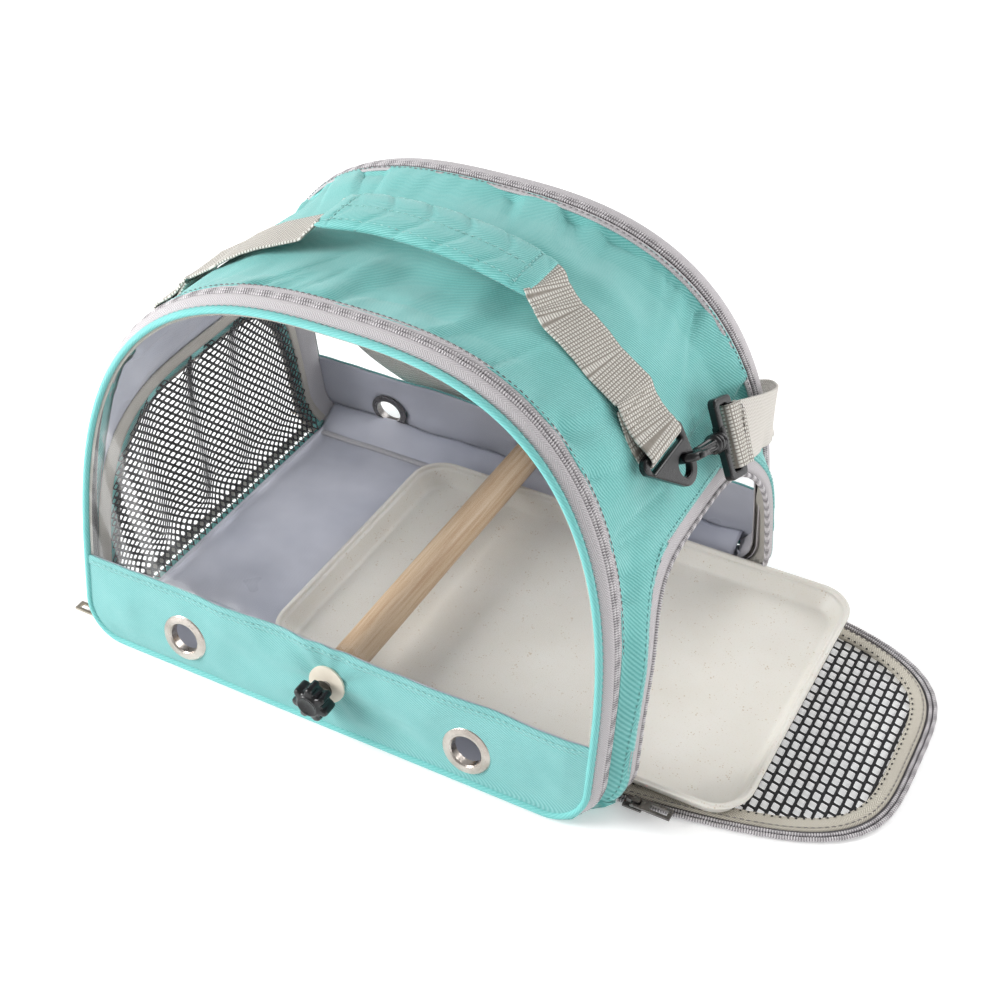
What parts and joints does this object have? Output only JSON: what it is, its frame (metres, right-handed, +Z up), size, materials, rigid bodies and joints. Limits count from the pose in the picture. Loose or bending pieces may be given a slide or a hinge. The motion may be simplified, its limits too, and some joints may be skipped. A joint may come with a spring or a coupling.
{
  "type": "bird travel carrier",
  "caption": "Soft-sided arched bird carrier with clear zipped panels, dowel perch, slide-out tray, mesh flap, padded top handle and shoulder strap.",
  "frame": {"origin": "middle of the flat base", "axes": "+X towards the end with the flap, -Y towards the front panel, +Z up"},
  "size_m": [0.5369, 0.3212, 0.2888],
  "materials": {
    "turquoise_fabric": "coated twill",
    "grey_lining": "glossy coated",
    "board": "plain",
    "black_net": "woven net",
    "grey_binding": "woven tape",
    "zip_tape": "herringbone tape with coil",
    "clear_film": "clear",
    "nickel": "polished nickel",
    "dark_nickel": "dark nickel",
    "washer_plastic": "plain",
    "black_plastic": "moulded",
    "screw_steel": "zinc plated",
    "beech": "sanded",
    "tray_plastic": "moulded",
    "webbing": "woven webbing"
  },
  "bodies": {
    "carrier": {"body_shell": "turquoise_fabric", "body_lining": "grey_lining", "floor_board": "board", "floor_lining": "grey_lining", "left_mesh_window": "black_net", "left_window_binding": "grey_binding", "front_body_tape": "zip_tape", "rear_body_tape": "zip_tape", "side_opening_tape": "zip_tape", "flap_hinge_strip": "grey_binding", "rear_panel_rim": "turquoise_fabric", "rear_panel_tape": "zip_tape", "rear_window": "clear_film", "rear_band": "turquoise_fabric", "rear_eyelets": "dark_nickel", "rear_washer": "washer_plastic", "perch_dowel": "beech", "handle_grip": "turquoise_fabric", "handle_webbing_right": "webbing", "handle_webbing_left": "webbing", "ring_right": "black_plastic", "ring_left": "black_plastic", "snap_hook_right": "black_plastic", "snap_hook_left": "black_plastic", "swivel_eye_right": "black_plastic", "swivel_eye_left": "black_plastic", "shoulder_strap": "webbing", "strap_slider": "black_plastic", "front_zip_slider": "nickel", "rear_zip_slider": "nickel"},
    "front_panel": {"front_panel_rim": "turquoise_fabric", "front_panel_tape": "zip_tape", "front_window": "clear_film", "front_band": "turquoise_fabric", "front_eyelets": "nickel", "front_washer": "washer_plastic"},
    "front_knob": {"front_knob": "black_plastic", "front_screw": "screw_steel"},
    "rear_knob": {"rear_knob": "black_plastic", "rear_screw": "screw_steel"},
    "tray": {"tray": "tray_plastic"},
    "flap": {"flap_mesh": "black_net", "flap_binding": "grey_binding", "flap_coil": "zip_tape", "flap_zip_slider": "nickel"},
    "flap_tab": {"flap_pull_tab": "nickel"},
    "front_tab": {"front_pull_tab": "nickel"},
    "rear_tab": {"rear_pull_tab": "nickel"}
  },
  "joints": [
    {"name": "front_panel_fold", "type": "hinge", "parent": "carrier", "child": "front_panel", "pos_m": [0, -0.142, 0.003], "axis": [1, 0, 0], "range_deg": [0, 50]},
    {"name": "front_knob_turn", "type": "hinge", "parent": "front_panel", "child": "front_knob", "pos_m": [0.005, -0.15, 0.035], "axis": [0, -1, 0], "continuous": true},
    {"name": "rear_knob_turn", "type": "hinge", "parent": "carrier", "child": "rear_knob", "pos_m": [0.005, 0.15, 0.035], "axis": [0, 1, 0], "continuous": true},
    {"name": "tray_slide", "type": "slide", "parent": "carrier", "child": "tray", "axis": [1, 0, 0], "range_m": [-0.103, 0.17]},
    {"name": "flap_fold", "type": "hinge", "parent": "carrier", "child": "flap", "pos_m": [0.186, 0, 0.0019], "axis": [0, 1, 0], "range_deg": [0, 80]},
    {"name": "flap_tab_turn", "type": "hinge", "parent": "flap", "child": "flap_tab", "pos_m": [0.198, -0.1114, 0.0065], "axis": [0, 1, 0], "range_deg": [-95, 3]},
    {"name": "front_tab_turn", "type": "hinge", "parent": "carrier", "child": "front_tab", "pos_m": [-0.17648, -0.12852, 0.00403], "axis": [0, 1, 0], "range_deg": [-3, 50]},
    {"name": "rear_tab_turn", "type": "hinge", "parent": "carrier", "child": "rear_tab", "pos_m": [-0.17648, 0.12852, 0.00403], "axis": [0, 1, 0], "range_deg": [-3, 50]}
  ]
}
